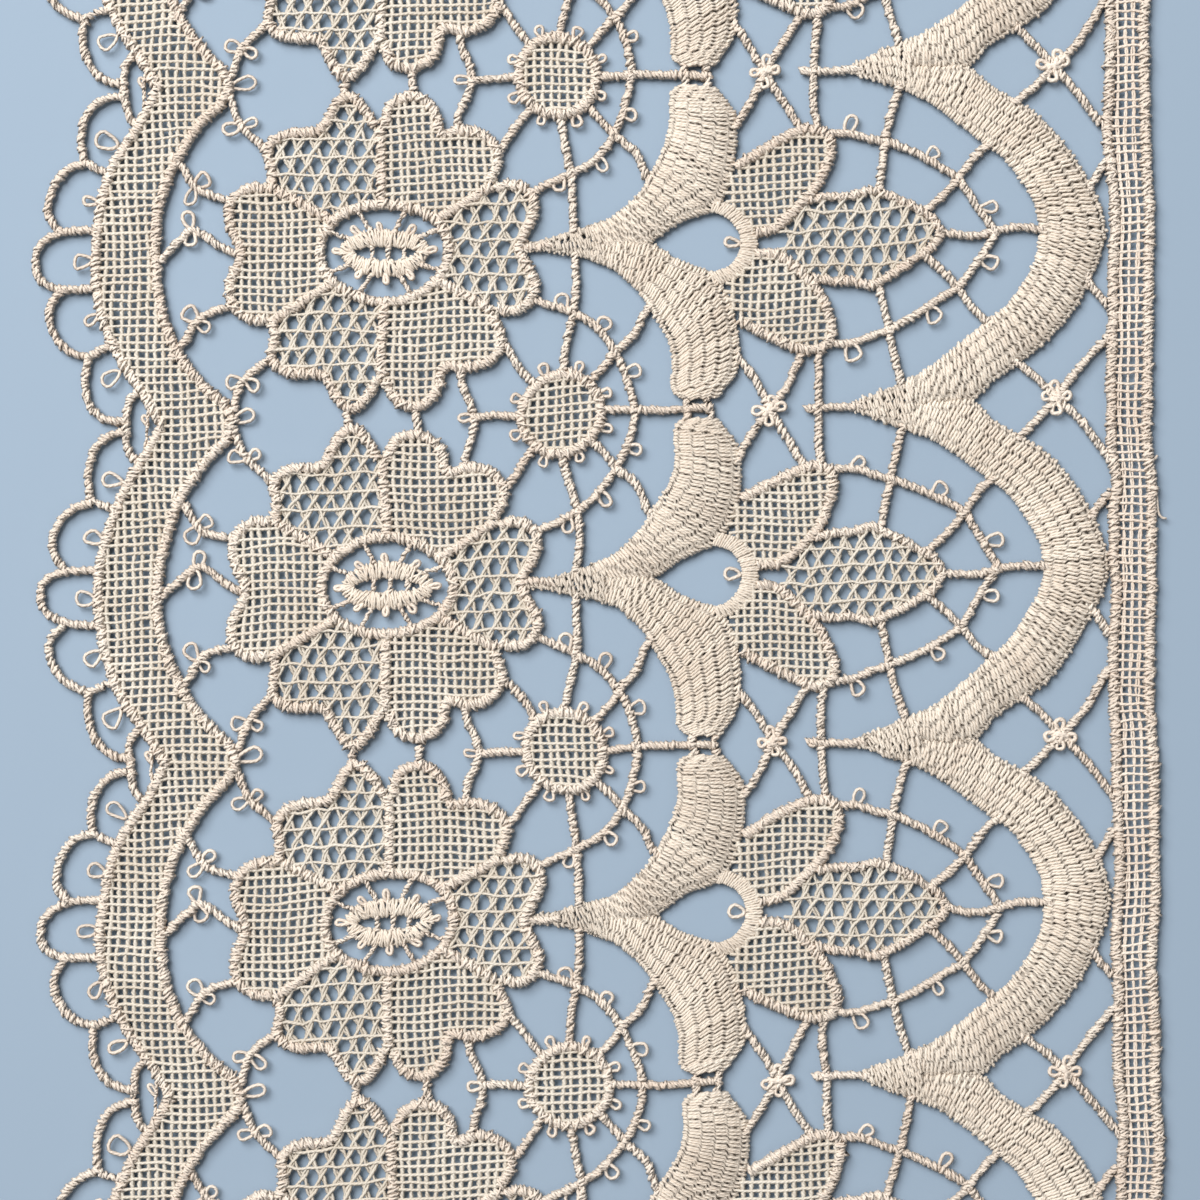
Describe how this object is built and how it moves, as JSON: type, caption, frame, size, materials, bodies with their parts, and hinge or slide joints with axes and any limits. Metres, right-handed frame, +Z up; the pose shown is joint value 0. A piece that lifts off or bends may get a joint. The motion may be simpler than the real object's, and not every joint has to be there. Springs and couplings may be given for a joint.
{
  "type": "guipure lace border",
  "caption": "Flat openwork cotton border with a scalloped looped edge, flowers, net suns, satin branches and tulips, and a straight heading to sew it on by",
  "frame": {"origin": "middle of the underside's bounding box, on the surface that the lace lies on", "axes": "+X across the border, from the scalloped edge to the heading; +Y along the border; +Z up from the surface"},
  "size_m": [0.1122, 0.1366, 0.0018],
  "materials": {
    "lace_cotton": "matt ecru cotton yarn, overcast and satin stitched",
    "heading_cotton": "matt ecru cotton yarn, net with corded edges"
  },
  "bodies": {
    "root": {"lace": "lace_cotton", "heading": "heading_cotton"}
  },
  "joints": []
}
